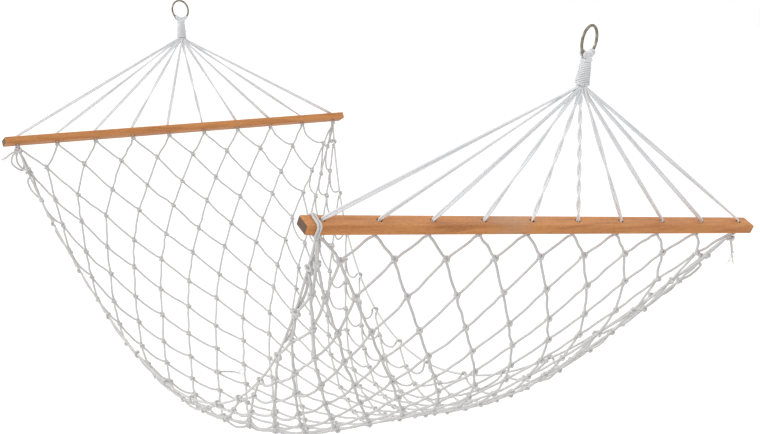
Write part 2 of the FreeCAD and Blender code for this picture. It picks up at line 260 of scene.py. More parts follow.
class Nodes:
    """A material and short ways to add its nodes."""

    def __init__(self, name):
        self.material = bpy.data.materials.new(name)
        self.material.use_nodes = True
        self.tree = self.material.node_tree
        self.shader = self.tree.nodes["Principled BSDF"]

    def add(self, kind, **settings):
        node = self.tree.nodes.new(kind)
        for key, value in settings.items():
            if key in node.inputs.keys():
                node.inputs[key].default_value = value
            else:
                setattr(node, key, value)
        return node

    def link(self, source, target):
        self.tree.links.new(source, target)

    def ramp(self, source, *stops):
        node = self.tree.nodes.new("ShaderNodeValToRGB")
        while len(node.color_ramp.elements) < len(stops):
            node.color_ramp.elements.new(0.5)
        for element, (place, colour) in zip(node.color_ramp.elements, stops):
            element.position = place
            element.color = (*colour, 1.0)
        self.link(source, node.inputs["Fac"])
        return node.outputs["Color"]

    def mix(self, factor, first, second, blend="MIX"):
        node = self.tree.nodes.new("ShaderNodeMix")
        node.data_type = "RGBA"
        node.blend_type = blend
        for value, socket in ((factor, node.inputs[0]), (first, node.inputs[6]),
                              (second, node.inputs[7])):
            if isinstance(value, bpy.types.NodeSocket):
                self.link(value, socket)
            else:
                socket.default_value = value
        return node.outputs[2]

    def bump(self, height, strength, distance, below=None):
        node = self.add("ShaderNodeBump", Strength=strength, Distance=distance)
        self.link(height, node.inputs["Height"])
        if below is not None:
            self.link(below, node.inputs["Normal"])
        return node.outputs["Normal"]


def cord_material(name, light, dark, yarns):
    """Matte white cord: spun yarns, loose fibres, faint greying from handling, and painted shade in the grooves
    between the yarns.
    """
    m = Nodes(name)
    place = m.add("ShaderNodeTexCoord")
    stretch = m.add("ShaderNodeMapping")
    stretch.inputs["Scale"].default_value = (yarns, 3.0, 1.0)
    stretch.inputs["Rotation"].default_value = (0.0, 0.0, math.radians(24))
    m.link(place.outputs["UV"], stretch.inputs["Vector"])
    yarn = m.add("ShaderNodeTexWave", wave_type="BANDS", Scale=1.0, Distortion=1.2, Detail=3.0)
    m.link(stretch.outputs["Vector"], yarn.inputs["Vector"])
    fibre = m.add("ShaderNodeTexNoise", Scale=2600.0, Detail=4.0, Roughness=0.7)
    m.link(place.outputs["Object"], fibre.inputs["Vector"])
    cloud = m.add("ShaderNodeTexNoise", Scale=38.0, Detail=3.0, Roughness=0.6)
    m.link(place.outputs["Object"], cloud.inputs["Vector"])
    grey = m.ramp(cloud.outputs["Fac"], (0.35, light), (0.75, dark))
    # Painted shade: where the yarn pattern dips into a groove, the colour is darkened a little.
    groove_shade = m.ramp(yarn.outputs["Fac"], (0.0, (0.92, 0.92, 0.925)), (0.35, (1.0, 1.0, 1.0)))
    m.link(m.mix(0.55, grey, groove_shade, "MULTIPLY"), m.shader.inputs["Base Color"])
    relief = m.bump(yarn.outputs["Fac"], 0.45, 0.0002)
    m.link(m.bump(fibre.outputs["Fac"], 0.35, 0.00012, relief), m.shader.inputs["Normal"])
    m.shader.inputs["Roughness"].default_value = 0.78
    m.shader.inputs["Sheen Weight"].default_value = 0.1
    m.shader.inputs["Sheen Roughness"].default_value = 0.5
    m.shader.inputs["Specular IOR Level"].default_value = 0.3
    return m.material


def wood_material(name, top, deep):
    """Pale orange hardwood with short pores along the grain, under a thin oil finish, and end faces darkened
    partly as end grain and partly as painted shade.
    """
    m = Nodes(name)
    place = m.add("ShaderNodeTexCoord")
    along = m.add("ShaderNodeMapping")
    along.inputs["Scale"].default_value = (1.0, 14.0, 14.0)
    m.link(place.outputs["Object"], along.inputs["Vector"])
    grain = m.add("ShaderNodeTexNoise", Scale=7.0, Detail=8.0, Roughness=0.62, Distortion=0.6)
    m.link(along.outputs["Vector"], grain.inputs["Vector"])
    fine = m.add("ShaderNodeMapping")
    fine.inputs["Scale"].default_value = (1.0, 9.0, 9.0)
    m.link(place.outputs["Object"], fine.inputs["Vector"])
    pores = m.add("ShaderNodeTexNoise", Scale=150.0, Detail=4.0, Roughness=0.75)
    m.link(fine.outputs["Vector"], pores.inputs["Vector"])
    patch = m.add("ShaderNodeTexNoise", Scale=4.5, Detail=2.0, Roughness=0.5)
    m.link(place.outputs["Object"], patch.inputs["Vector"])
    colour = m.ramp(grain.outputs["Fac"], (0.30, deep), (0.52, top),
                    (0.72, tuple(min(1.0, c * 1.18) for c in top)))
    speck = m.ramp(pores.outputs["Fac"], (0.36, (0.55, 0.48, 0.42)), (0.50, (1.0, 1.0, 1.0)))
    colour = m.mix(0.75, colour, speck, "MULTIPLY")
    # Darker end faces: partly the wood's darker end grain, partly painted shade, as the light here falls full on
    # them.
    ends = m.add("ShaderNodeSeparateXYZ")
    m.link(place.outputs["Normal"], ends.inputs["Vector"])
    facing = m.add("ShaderNodeMath", operation="ABSOLUTE")
    m.link(ends.outputs["X"], facing.inputs[0])
    end_grain_and_shade = m.ramp(facing.outputs["Value"], (0.70, (0.0, 0.0, 0.0)), (0.95, (1.0, 1.0, 1.0)))
    colour = m.mix(end_grain_and_shade, colour, (0.115, 0.056, 0.027, 1.0))
    worn = m.ramp(patch.outputs["Fac"], (0.62, (0.0, 0.0, 0.0)), (0.78, (0.4, 0.4, 0.4)))
    colour = m.mix(worn, colour, (0.42, 0.36, 0.30, 1.0))
    m.link(colour, m.shader.inputs["Base Color"])
    m.link(m.bump(pores.outputs["Fac"], 0.35, 0.0003), m.shader.inputs["Normal"])
    rough = m.add("ShaderNodeMapRange")
    rough.inputs["To Min"].default_value = 0.38
    rough.inputs["To Max"].default_value = 0.62
    m.link(grain.outputs["Fac"], rough.inputs["Value"])
    m.link(rough.outputs["Result"], m.shader.inputs["Roughness"])
    return m.material


def steel_material():
    """Dull nickel over steel, drawn marks round the wire and tarnish in patches; its colour is kept dark as a
    painted reflection of dark surroundings.
    """
    m = Nodes("ring_steel_tarnish_and_painted_reflection")
    place = m.add("ShaderNodeTexCoord")
    cloud = m.add("ShaderNodeTexNoise", Scale=140.0, Detail=5.0, Roughness=0.6)
    m.link(place.outputs["Object"], cloud.inputs["Vector"])
    scratch = m.add("ShaderNodeTexNoise", Scale=1400.0, Detail=3.0, Roughness=0.7)
    m.link(place.outputs["Object"], scratch.inputs["Vector"])
    # Painted reflection: both tones are darker than bare nickel, standing in for the dark surroundings the wire
    # would mirror; the patches between them are tarnish.
    m.link(m.ramp(cloud.outputs["Fac"], (0.35, (0.20, 0.165, 0.12)), (0.65, (0.42, 0.38, 0.32))),
           m.shader.inputs["Base Color"])
    rough = m.add("ShaderNodeMapRange")
    rough.inputs["To Min"].default_value = 0.12
    rough.inputs["To Max"].default_value = 0.3
    m.link(cloud.outputs["Fac"], rough.inputs["Value"])
    m.link(rough.outputs["Result"], m.shader.inputs["Roughness"])
    m.link(m.bump(scratch.outputs["Fac"], 0.2, 0.00008), m.shader.inputs["Normal"])
    m.shader.inputs["Metallic"].default_value = 1.0
    return m.material


CLEW_LIGHT = (0.955, 0.957, 0.965)
CLEW_DARK = (0.90, 0.905, 0.925)
white_net = cord_material("net_cord_white", (0.75, 0.738, 0.732), (0.67, 0.662, 0.66), 6.0)
white_clew = cord_material("clew_cord_white", CLEW_LIGHT, CLEW_DARK, 6.0)
white_binding = cord_material("binding_cord_white", CLEW_LIGHT, CLEW_DARK, 4.0)
bar_wood = wood_material("bar_hardwood", (0.64, 0.265, 0.078), (0.47, 0.165, 0.040))
ring_steel = steel_material()


# ---- the two ends ----------------------------------------------------------------------------

mounts = {mount["name"]: mount for mount in frame["record"]["mounts"]}
joints = {joint["name"]: joint for joint in frame["joints"]}


def neck_axes(end):
    """Origin at the ring's centre, +Z up the neck, +X along the bars."""
    lean = math.radians(NECK_LEAN[end])
    up = np.array([0.0, OUTWARD[end] * math.sin(lean), math.cos(lean)])
    side = np.array([1.0, 0.0, 0.0])
    return Axes(mounts[end + "_ring_eye"]["pos_m"], side, np.cross(up, side), up)


def bar_axes(end):
    """Origin at the middle of the bar, +X along it, +Z up its cord holes."""
    tilt = joints[end + "_bar_tilt"]
    along = unit(tilt["axis"])
    plumb = unit(np.cross(along, (0.0, 1.0, 0.0)))
    lean = math.radians(BAR_TILT) * OUTWARD[end]
    up = plumb * math.cos(lean) + np.array([0.0, math.sin(lean), 0.0])
    return Axes(tilt["pos_m"], along, np.cross(up, along), up)


def hole_x(index):
    return (index - (HOLES - 1) / 2) * HOLE_PITCH


neck = {end: neck_axes(end) for end in OUTWARD}
bar = {end: bar_axes(end) for end in OUTWARD}
anchors = {end: np.array([bar[end].at((hole_x(i), 0, -KNOT_DROP)) for i in range(HOLES)])
           for end in OUTWARD}


# ---- how the net hangs -----------------------------------------------------------------------

# Knots are keyed by row and by column in half meshes: even rows have even columns from -2 to
# 20, and odd rows have odd columns from -3 to 21, whose ends lie on the two selvages.
LEFT_RIM = -3
RIGHT_RIM = 21
LEG_LENGTH = 63.3 * MM
FIRST_LEGS = 0.68                               # shorter where the net joins the bars
LAST_LEGS = 0.947
SELVAGE_SPANS = {LEFT_RIM: 1481 * MM, RIGHT_RIM: 1394 * MM}
PULL = unit((-0.106, 0.073, -1.0))              # the way the net hangs, a little off plumb
RELAX_STEPS = 350
RELAX_PASSES = 4
FIRST_SAG = 500 * MM


def unevenness(row, column, side):
    """How hand knotting varies the meshes across the net, along it and slantwise."""
    across = (column + side / 2 - 9) / 11
    along = (row - 12.5) / 12.5
    slant = -0.01 - 0.075 * along - 0.03 * across - 0.10 * across ** 2 + 0.04 * along ** 2
    breadth = -0.093 * across - 0.07 * across ** 2 + 0.12 * across ** 3
    length = -0.07 * along + 0.117 * along ** 2 - 0.074 * along ** 3
    return 1 + breadth + length + along * across * (0.077 + 0.143 * across) + side * slant


def columns(row):
    inset = 0 if row % 2 else 1
    return range(LEFT_RIM + inset, RIGHT_RIM + 1 - inset, 2)


def hole_of(column):
    return min(max(column // 2, 0), HOLES - 1)


class Net:
    """The net's knots and the middles of its legs, hung between the two rows of holes.

    A leg or a selvage span may fold, and is pulled back when it is too long. There are few
    passes a step, so the links give under the net's pull: together the legs hang 7 percent
    longer than set, one in twenty of them a fifth or more, and the selvages 5 and 8 percent.
    """

    def __init__(self):
        self.points = []
        self.free = []
        self.index = {}
        for row in (0, NET_ROWS):
            held = anchors["far" if row else "near"]
            first = len(self.points)
            for point in held:
                self.add(point, 0.0)
            for column in columns(row):
                self.index[row, column] = first + hole_of(column)
        for row in range(1, NET_ROWS):
            for column in columns(row):
                self.index[row, column] = self.add(self.start(row, column), 1.0)
        batches = self.legs() + self.selvages()
        self.relax(batches)

    def add(self, point, free):
        self.points.append(np.asarray(point, float))
        self.free.append(free)
        return len(self.points) - 1

    def start(self, row, column):
        share = row / NET_ROWS
        place = min(max(column / 2, 0.0), HOLES - 1.0)
        low = min(int(place), HOLES - 2)
        part = place - low
        near, far = ((1 - part) * anchors[end][low] + part * anchors[end][low + 1]
                     for end in ("near", "far"))
        deep = 0.75 + 0.25 * math.cos((column / 2 - 4.5) / 6 * math.pi / 2)
        sag = FIRST_SAG * 4 * share * (1 - share) * deep
        return near * (1 - share) + far * share - (0, 0, sag)

    def legs(self):
        """Two links a leg, in batches whose links share no free knot."""
        self.middles = {}
        batches = {}
        for row in range(NET_ROWS):
            scale = {0: FIRST_LEGS, NET_ROWS - 1: LAST_LEGS}.get(row, 1.0)
            for column in columns(row):
                for side in (-1, 1):
                    if (row + 1, column + side) not in self.index:
                        continue
                    upper = self.index[row, column]
                    lower = self.index[row + 1, column + side]
                    middle = self.add((self.points[upper] + self.points[lower]) / 2, 1.0)
                    self.middles[row, column, side] = middle
                    half = LEG_LENGTH / 2 * scale * unevenness(row, column, side)
                    for part, link in enumerate(((upper, middle), (middle, lower))):
                        batches.setdefault((row % 2, side, part), []).append((*link, half))
        return list(batches.values())

    def selvages(self):
        self.rims = {}
        batches = ([], [])
        for column, length in SELVAGE_SPANS.items():
            rows = [0, *range(1, NET_ROWS, 2), NET_ROWS]
            end_column = column + 1 if column < 0 else column - 1
            rim = [self.index[row, column if row % 2 else end_column] for row in rows]
            spans = len(rim) - 1
            for i in range(spans):
                share = 0.5 if i in (0, spans - 1) else 1.0
                batches[i % 2].append((rim[i], rim[i + 1], length / (spans - 1) * share))
            self.rims[column] = rim
        return list(batches)

    def relax(self, batches):
        x = np.array(self.points)
        free = np.array(self.free)
        links = []
        for batch in batches:
            a = np.array([link[0] for link in batch])
            b = np.array([link[1] for link in batch])
            longest = np.array([link[2] for link in batch])
            total = np.maximum(free[a] + free[b], 1.0)
            links.append((a, b, longest, (free[a] / total)[:, None], (free[b] / total)[:, None]))
        speed = np.zeros_like(x)
        pull = PULL * 0.6 * MM
        for step in range(RELAX_STEPS):
            damping = 0.985 if step < 0.8 * RELAX_STEPS else 0.9
            before = x.copy()
            x = x + (speed * damping + pull) * free[:, None]
            for _ in range(RELAX_PASSES):
                for a, b, longest, share_a, share_b in links:
                    gap = x[b] - x[a]
                    span = np.sqrt((gap * gap).sum(1))
                    excess = np.maximum(span - longest, 0) / np.maximum(span, 1e-9)
                    pull_in = gap * excess[:, None]
                    x[a] += share_a * pull_in
                    x[b] -= share_b * pull_in
            speed = x - before
        self.points = x

    def knot(self, row, column):
        return self.points[self.index[row, column]]

    def middle(self, row, column, side):
        return self.points[self.middles[row, column, side]]


net = Net()


# ---- knots of the net ------------------------------------------------------------------------

# Drawn with x to the right, y off the outer face and z towards the near bar.
BIGHT = [(-0.62, 0, 1.5), (-0.55, 0, 0.6), (-0.95, 0, -0.35), (0, 0.1, -1.25), (0.95, 0, -0.35),
         (0.55, 0, 0.6), (0.62, 0, 1.5)]
WRAP = [(-0.75, -0.25, -2.3), (-0.4, -0.62, -1.35), (0, 0, -0.55), (0, 0.75, -0.45),
        (0.05, 1.5, 0.25), (0.45, 1.1, 0.95), (1.25, 0.1, 1.05), (0.6, -0.8, 0.85),
        (-0.6, -0.8, 0.75), (-1.3, 0, 0.6), (-0.85, 0.6, 0.35), (0, 0.72, 0.30),
        (0.85, 0.6, 0.15), (1.0, 0.3, -0.8), (0.8, 0, -2.3)]
HELD = [(-0.55, 0.2, -2.6), (-0.6, 0.3, -0.8), (-0.5, 0.2, 0.6), (0, 0, 1.3), (0.5, -0.2, 0.6),
        (0.6, -0.3, -0.8), (0.55, -0.2, -2.6)]
MENDED_KNOT = (16, 4)                           # a joined twine's tail shows here
# Where two meshes share a hole, how far each stands to the side.
HELD_APART = {-2: -1.6 * MM, 0: 1.2 * MM, 18: -1.2 * MM, 20: 1.6 * MM}
# Half a turn round the selvage, from above to below, with x towards the net.
HITCH = [(1.7, 0.7, 1.1), (0.4, 1.1, 0.5), (-1.05, 0.2, 0), (-0.3, -1.1, -0.5),
         (1.6, -0.7, -1.1)]
HITCH_MIDDLE = 3
HITCH_RADIUS = 4.1 * MM
HITCH_LEAD = 13 * MM                            # from the selvage to where its legs straighten


def mean_of(keys):
    return np.mean([net.knot(*key) for key in keys if key in net.index], axis=0)


def knot_axes(row, column, wobble=0.22):
    """The frame of a knot between its neighbours, turned a little at random."""
    here = net.knot(row, column)
    above = mean_of([(row - 1, column - 1), (row - 1, column + 1)]) if row else None
    below = mean_of([(row + 1, column - 1), (row + 1, column + 1)]) if row < NET_ROWS else None
    if above is None:
        above = here + bar["near"].z * 0.05
    if below is None:
        below = here + bar["far"].z * 0.05
    rows = [r for r in (row - 1, row + 1) if 0 <= r <= NET_ROWS]
    lefts = [(r, column - 1) for r in rows if (r, column - 1) in net.index]
    rights = [(r, column + 1) for r in rows if (r, column + 1) in net.index]
    left = mean_of(lefts) if lefts else here
    right = mean_of(rights) if rights else here
    up = unit(unit(above - here) - unit(below - here))
    across = right - left
    across = unit(across - up * (across @ up))
    turn = randoms.normal(0, wobble, 3)
    across = unit(across + up * turn[0] + np.cross(across, up) * turn[1])
    up = unit(up - across * (up @ across) + np.cross(across, up) * turn[2])
    up = unit(up - across * (up @ across))
    return Axes(here, across, np.cross(across, up), up)


knot_frames = {}
for row_number in range(NET_ROWS + 1):
    for column_number in columns(row_number):
        if row_number % 2 == 0 or LEFT_RIM < column_number < RIGHT_RIM:
            loose = 0.22 if 0 < row_number < NET_ROWS else 0.08
            knot_frames[row_number, column_number] = knot_axes(row_number, column_number, loose)


def drawn(key, drawing, legs, flip=False):
    """A knot's drawing at its place, with its ends turned to the two legs that leave it."""
    points = np.array(drawing, float) * KNOT_SCALE
    if flip:
        points = points * (1, 1, -1)
    if key[0] in (0, NET_ROWS):
        points = points + (HELD_APART.get(key[1], 0.0), 0, 0)
    placed = knot_frames[key].at(points)
    row, column = key
    here = net.knot(row, column)
    for end_point, (down, across, side) in zip((0, -1), legs):
        away = unit(net.middle(row + down, column + across, side) - here)
        placed[end_point] = here + away * np.linalg.norm(points[end_point])
    return placed.tolist()


def wrap_at(row, column):
    below = ((0, 0, -1), (0, 0, 1))
    return drawn((row, column), HELD if row == 0 else WRAP, below)


def bight_at(row, column):
    above = ((-1, -1, 1), (-1, 1, -1))
    last = row == NET_ROWS
    return drawn((row, column), HELD if last else BIGHT, above, flip=last)


def leg(key, side):
    """Points between two knots, down a leg that is never quite straight."""
    row, column = key
    upper = net.knot(row, column)
    lower = net.knot(row + 1, column + side)
    middle = net.middle(row, column, side)
    along = unit(lower - upper)
    across = unit(np.cross(along, (0.3, 0.9, 0.3)))
    other = np.cross(along, across)
    bend = randoms.normal(0, 0.5 * MM, (3, 2))
    points = [upper * 0.375 + middle * 0.75 - lower * 0.125, middle,
              lower * 0.375 + middle * 0.75 - upper * 0.125]
    return [point + across * b[0] + other * b[1] for point, b in zip(points, bend)]


def hitch_points(row, column, line):
    """The turns that a border mesh takes round its selvage."""
    here = net.knot(row, column)
    nearest = int(np.argmin(np.linalg.norm(line - here, axis=1)))
    nearest = min(max(nearest, 1), len(line) - 2)
    up = unit(line[nearest - 1] - line[nearest + 1])
    beside = 1 if column < 0 else -1
    inward = net.knot(row - 1, column + beside) * 0.5
    inward = inward + net.knot(row + 1, column + beside) * 0.5 - here
    inward = unit(inward - up * (inward @ up))
    out = np.cross(inward, up) * beside
    points = Axes(line[nearest], inward, out, up).at(np.array(HITCH) * HITCH_RADIUS)
    legs = (net.middle(row - 1, column + beside, -beside), net.middle(row, column, beside))
    ends = [line[nearest] + unit(far_point - line[nearest]) * HITCH_LEAD for far_point in legs]
    return np.vstack([ends[0], points, ends[1]])


def course(upper_row, rims):
    """The twine of two rows: across the upper one, round the right selvage and back."""
    right = hitch_points(upper_row + 1, RIGHT_RIM, rims[RIGHT_RIM])
    left = hitch_points(upper_row + 1, LEFT_RIM, rims[LEFT_RIM])[::-1]
    cut = len(left) - 1 - HITCH_MIDDLE
    points = list(left[cut:])
    row = upper_row
    for column in columns(row):
        if column > LEFT_RIM + 1:
            points += bight_at(row + 1, column - 1)
        points += leg((row, column), -1)[::-1]
        points += wrap_at(row, column)
        points += leg((row, column), 1)
    points += list(right)
    row = upper_row + 1
    back = leg((row, LEFT_RIM), 1)
    for column in columns(row)[1:-1]:
        back += bight_at(row + 1, column - 1)
        back += leg((row, column), -1)[::-1]
        back += wrap_at(row, column)
        back += leg((row, column), 1)
    back += bight_at(row + 1, RIGHT_RIM - 1)
    back += leg((row, RIGHT_RIM), -1)[::-1]
    points += back[::-1]
    points += list(left[:cut + 1])
    return np.array([np.asarray(point, float) for point in points])


def selvage_route(column):
    return nurbs_line("selvage_guide", [net.points[i] for i in net.rims[column]])


def doubled(shape, line, radius, turns, phase):
    """Two strands side by side along a line, turning about each other, narrower near its end."""
    line = resample(line, SWEEP_STEP)
    _, normals, binormals = frames_along(line)
    share = np.linspace(0, 1, len(line))
    left = length_of(line) * (1 - share)
    opening = np.clip((left - CLEW_SQUEEZED_END) / CLEW_SQUEEZE_RUN, 0, 1)
    taper = CLEW_SQUEEZE + (1 - CLEW_SQUEEZE) * opening
    for side in (0.0, math.pi):
        angle = (phase + side + 2 * math.pi * turns * share)[:, None]
        offset = np.cos(angle) * normals + np.sin(angle) * binormals
        shape.strand(line + radius * taper[:, None] * offset, radius,
                     phase=randoms.uniform(0, 6), taper=taper)


def frayed_tail(shape, start, way, length, droop=0.5):
    """A cut cord's end: it droops as it leaves its knot, and its yarns spread at the cut."""
    way = unit(way)
    side = unit(np.cross(way, (0.0, 0.0, 1.0)))
    fall = np.array([0.0, 0.0, -droop])
    stem = [start + length * (way * t + fall * t * t) for t in (0.0, 0.35, 0.7, 1.0)]
    shape.strand(smooth(stem), TWINE_RADIUS * 0.92)
    cut = stem[-1]
    ahead = unit(stem[-1] - stem[-2])
    for yarn in range(7):
        spread = side * randoms.normal(0, 0.35) + np.array([0, 0, randoms.normal(0, 0.35)])
        reach = randoms.uniform(9, 20) * MM
        curl = side * randoms.normal(0, 3 * MM) + (0, 0, randoms.normal(0, 2.5 * MM))
        yarn_line = [cut - ahead * 2 * MM, cut + (ahead + spread) * reach * 0.5,
                     cut + (ahead + spread) * reach + curl]
        shape.strand(smooth(yarn_line, 1.2 * MM), 0.45 * MM, sides=6, depth=0.0)


def corner_knot(shape, centre, size):
    """A heavy overhand knot where the bed's edge is made fast."""
    t = np.linspace(0, 2 * math.pi, 60)
    knot = np.stack([np.sin(t) + 2 * np.sin(2 * t), np.cos(t) - 2 * np.cos(2 * t),
                     -1.35 * np.sin(3 * t)], axis=1)
    shape.strand(smooth(centre + knot * size, 1.2 * MM), TWINE_RADIUS)


def make_edge_ends(shape, rims):
    """The border twine's run beside the near left selvage, the end knots and their tails."""
    line = resample(rims[LEFT_RIM], 12 * MM)
    beside = [line[0] + (2 * MM, -3 * MM, 0)]
    for number in range(1, 24):
        along = unit(line[number + 1] - line[number - 1])
        off = unit(np.cross(along, (0.3, 1.0, 0.2))) * 4.4 * MM
        wave = 1 + 0.35 * math.sin(number * 0.7)
        beside.append(line[number] + off * wave)
    beside.append(line[24])
    shape.strand(smooth(beside), TWINE_RADIUS)
    near_right = bar["near"].at((hole_x(HOLES - 1), -2 * MM, -KNOT_DROP - 9 * MM))
    corner_knot(shape, near_right, 1.9 * MM)
    frayed_tail(shape, near_right, bar["near"].x * 0.5 - bar["near"].z + (0, -0.4, 0), 16 * MM)
    far_left = bar["far"].at((hole_x(0), -3 * MM, -KNOT_DROP - 7 * MM))
    corner_knot(shape, far_left, 2.5 * MM)
    frayed_tail(shape, far_left, -bar["far"].x + (0, -0.2, -0.1), 26 * MM, 0.3)
    loop = [far_left, far_left + (-14 * MM, -4 * MM, -12 * MM),
            far_left + (-16 * MM, -6 * MM, -24 * MM), far_left + (-4 * MM, -4 * MM, -36 * MM),
            far_left + (8 * MM, -2 * MM, -40 * MM), far_left + (10 * MM, 0, -20 * MM), far_left]
    shape.strand(smooth(loop), TWINE_RADIUS)
    mended = net.knot(*MENDED_KNOT)
    corner_knot(shape, mended, 1.7 * MM)
    frayed_tail(shape, mended, (0.8, -0.5, 0.15), 30 * MM, 0.1)


def make_net():
    rims = {column: selvage_route(column) for column in net.rims}
    for number, row in enumerate(range(0, NET_ROWS, 2), 1):
        shape = Shape()
        shape.strand(smooth(course(row, rims)), TWINE_RADIUS, phase=randoms.uniform(0, 6))
        if row == 0:
            make_edge_ends(shape, rims)
        shape.build("net_course_%02d" % number, white_net, "sling")
    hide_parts("net_bed")
    for side, column in (("left", LEFT_RIM), ("right", RIGHT_RIM)):
        line = rims[column]
        shape = Shape()
        shape.strand(resample(line, SWEEP_STEP), SELVAGE_STRAND_RADIUS, phase=0.5)
        piece = shape.build(side + "_selvage_strand", white_net, "sling")
        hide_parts(side + "_selvage_cord")


# ---- fans, necks and eyes --------------------------------------------------------------------

def clew_route(end, index):
    """The cord's route from the neck's foot to under its hole, bent just above the bar."""
    x = (index - (HOLES - 1) / 2) * CLEW_SPACING
    y = (0.5 if index % 2 else -0.5) * CLEW_ROW_GAP
    run = CLEW_FOOT_RUN + CLEW_FOOT_STEP * min(index, HOLES - 1 - index)
    foot = neck[end].at((x, y, -NECK_FOOT))
    below = neck[end].at((x, y, -NECK_FOOT - run))
    over = bar[end].at((hole_x(index), 0, BAR_HALF_THICKNESS + 2 * MM))
    inside = bar[end].at((hole_x(index), 0, BAR_HALF_THICKNESS - 3 * MM))
    under = bar[end].at((hole_x(index), 0, -BAR_HALF_THICKNESS - 1 * MM))
    way = unit(over - below)
    return [foot, below, below + way * 2.5 * run, over - way * 20 * MM, over - way * 4 * MM,
            over, inside, under]


# Turns of each cord's two strands about each other, and where they start, in turns.
CLEW_TWISTS = {"near": [(0.35, 0.0), (0.2, 0.45), (0.3, 0.5), (1.3, 0.1), (2.6, 0.0), (4.2, 0.2),
                        (1.2, 0.6), (0.4, 0.25), (0.3, 0.2), (0.55, 0.1)],
               "far": [(0.3, 0.2), (0.6, 0.0), (0.2, 0.4), (1.1, 0.1), (0.4, 0.3), (1.6, 0.0),
                       (0.5, 0.1), (0.3, 0.4), (0.8, 0.2), (0.3, 0.0)]}


def make_fan(end):
    for index, (turns, start) in enumerate(CLEW_TWISTS[end]):
        name = "%s_clew_cord_%d" % (end, index + 1)
        line = nurbs_line("clew_guide", clew_route(end, index))
        shape = Shape()
        doubled(shape, line, CLEW_STRAND_RADIUS, turns, 2 * math.pi * start)
        piece = shape.build(name.replace("cord", "strands"), white_clew, "sling")
        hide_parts(name)


def make_whipping(end):
    """The binding's close turns down the neck, and two raised turns at its top."""
    axes = neck[end]
    thick = 1.25 * MM
    turns = (NECK_FOOT - COLLAR_FOOT) / (2.02 * thick)
    steps = int(turns * 28)
    share = np.linspace(0, 1, steps)
    angle = 2 * math.pi * turns * share
    radius = WHIPPING_TOP_RADIUS + (WHIPPING_FOOT_RADIUS - WHIPPING_TOP_RADIUS) * share - thick
    radius = radius * (1 + 0.018 * np.sin(angle * 0.37 + 1.0))
    down = -COLLAR_FOOT - thick - (NECK_FOOT - COLLAR_FOOT - 2 * thick) * share
    helix = np.stack([radius * np.cos(angle), radius * np.sin(angle), down], axis=1)
    shape = Shape()
    shape.strand(axes.at(helix), thick, lay=7 * MM, sides=10, ribs=2)
    core_z = np.linspace(-COLLAR_TOP - 1 * MM, -NECK_FOOT + 1 * MM, 12)
    core_share = np.linspace(0, 1, 12)
    core = np.stack([0 * core_z, 0 * core_z, core_z], axis=1)
    width = (WHIPPING_TOP_RADIUS - 1.9 * thick) + 2 * MM * core_share
    shape.strand(axes.at(core), 1.0, lay=1.0, sides=20, depth=0.0, taper=width)
    collar_turns = 2.15
    share = np.linspace(0, 1, 110)
    angle = 2 * math.pi * collar_turns * share + 0.7
    height = -COLLAR_TOP - 1.3 * MM - 2.2 * MM * share + 0.5 * MM * np.cos(angle)
    collar_radius = 7.25 * MM + 0.25 * MM * np.sin(angle * 1.5)
    collar = np.stack([collar_radius * np.cos(angle), collar_radius * np.sin(angle), height], 1)
    shape.strand(axes.at(collar), 1.45 * MM, lay=7 * MM, ribs=2)
    piece = shape.build(end + "_binding_turns", white_binding, "sling")
    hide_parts(end + "_whipping", end + "_whipping_collar", end + "_neck_core")


def make_eye(end):
    """Ten strands side by side, each up the front of the ring's wire, over it and down."""
    turn = math.radians(RING_TURN[end])
    ring = np.array([[math.cos(turn), math.sin(turn), 0], [-math.sin(turn), math.cos(turn), 0],
                     [0, 0, 1.0]])
    shape = Shape()
    for i in range(HOLES):
        spread = (i - (HOLES - 1) / 2) * EYE_STRAND_GAP / RING_RADIUS
        outward = np.array([math.sin(spread), 0, -math.cos(spread)])
        middle = outward * RING_RADIUS
        reach = RING_WIRE_RADIUS + EYE_STRAND_RADIUS * (1.0 + 0.12 * randoms.normal())
        bend = []
        for degrees in (-60, -20, 15, 50, 90, 130, 165, 200, 240):
            angle = math.radians(degrees)
            bend.append(middle + reach * (-outward * math.sin(angle)
                                          + np.array([0, -math.cos(angle), 0])))
        layer = 0.55 if i % 2 else 0.95
        low_x = (i - (HOLES - 1) / 2) * 1.22 * MM
        low_y = layer * math.sqrt((6.0 * MM) ** 2 - low_x ** 2)
        front = [(low_x, -low_y, -COLLAR_TOP - 6 * MM), (low_x, -low_y, -COLLAR_TOP)]
        back = [(low_x, low_y, -COLLAR_TOP), (low_x, low_y, -COLLAR_TOP - 6 * MM)]
        points = front + (np.array(bend[1:-1]) @ ring).tolist() + back
        line = smooth(neck[end].at(points), 1.0 * MM)
        shape.strand(line, EYE_STRAND_RADIUS, lay=9 * MM, phase=randoms.uniform(0, 6))
    piece = shape.build(end + "_eye_strands", white_clew, "sling")
    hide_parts(end + "_eye_left", end + "_eye_right")


def make_stopper_knots(end):
    """A doubled overhand knot under each hole."""
    shape = Shape()
    t = np.linspace(0, 2 * math.pi, 60)
    for index in range(HOLES):
        size = 1.30 * MM * randoms.uniform(0.95, 1.08)
        spin = randoms.uniform(0, 6)
        x = np.sin(t) + 2 * np.sin(2 * t)
        y = np.cos(t) - 2 * np.cos(2 * t)
        knot = np.stack([x * math.cos(spin) - y * math.sin(spin),
                         x * math.sin(spin) + y * math.cos(spin), -1.35 * np.sin(3 * t)], axis=1)
        line = bar[end].at(knot * size + (hole_x(index), 0, -KNOT_DROP))
        shape.strand(smooth(line, 1.2 * MM), 1.6 * MM, lay=10 * MM)
    piece = shape.build(end + "_stopper_loops", white_net, "sling")
    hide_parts(end + "_stopper_knots")


